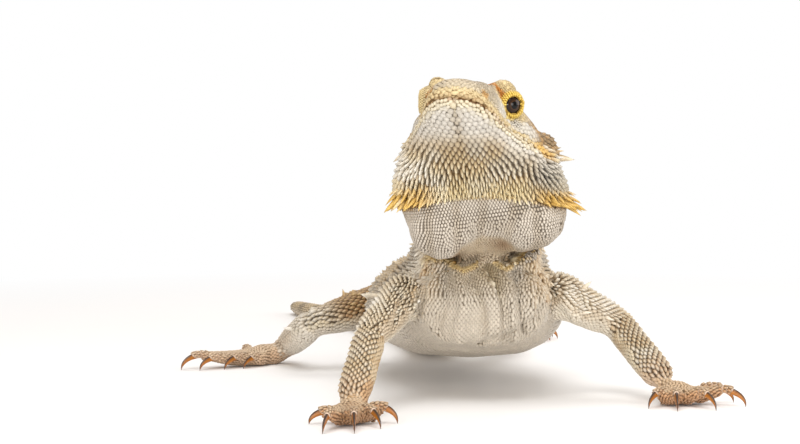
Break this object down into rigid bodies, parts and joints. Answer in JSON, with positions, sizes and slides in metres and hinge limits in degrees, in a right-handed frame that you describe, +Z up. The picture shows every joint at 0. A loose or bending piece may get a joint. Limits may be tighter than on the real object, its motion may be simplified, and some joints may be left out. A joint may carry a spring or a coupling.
{
  "type": "bearded dragon",
  "caption": "Still, life-size bearded dragon propped up on its front legs, with raised head, hanging spiny beard, long tail and clawed feet, for display on a floor or shelf.",
  "frame": {"origin": "middle of the footprint's bounding box, on the level the animal stands on", "axes": "+Z up; the animal faces -Y with its tail towards +Y, and its left side lies towards +X"},
  "size_m": [0.191, 0.3946, 0.1064],
  "materials": {
    "hide_tan": "matt, covered in keeled and spiny horny scales, cream with tan and grey mottling",
    "hide_pale": "matt, covered in small pale horny scales",
    "eye": "wet gloss, dark brown iris",
    "claw": "satin translucent-looking horn, amber with a dark ridge"
  },
  "bodies": {
    "root": {"beard": "hide_pale", "claw_foot_left_1": "claw", "claw_foot_left_2": "claw", "claw_foot_left_3": "claw", "claw_foot_left_4": "claw", "claw_foot_left_5": "claw", "claw_foot_right_1": "claw", "claw_foot_right_2": "claw", "claw_foot_right_3": "claw", "claw_foot_right_4": "claw", "claw_foot_right_5": "claw", "claw_hand_left_1": "claw", "claw_hand_left_2": "claw", "claw_hand_left_3": "claw", "claw_hand_left_4": "claw", "claw_hand_left_5": "claw", "claw_hand_right_1": "claw", "claw_hand_right_2": "claw", "claw_hand_right_3": "claw", "claw_hand_right_4": "claw", "claw_hand_right_5": "claw", "eye_left": "eye", "eye_right": "eye", "foot_left": "hide_tan", "foot_right": "hide_tan", "forearm_left": "hide_tan", "forearm_right": "hide_tan", "hand_left": "hide_tan", "hand_right": "hide_tan", "head": "hide_tan", "jaw": "hide_pale", "neck": "hide_tan", "shank_left": "hide_tan", "shank_right": "hide_tan", "tail_base": "hide_tan", "tail_end": "hide_tan", "tail_middle": "hide_tan", "thigh_left": "hide_tan", "thigh_right": "hide_tan", "trunk": "hide_tan", "upper_arm_left": "hide_tan", "upper_arm_right": "hide_tan"}
  },
  "joints": []
}
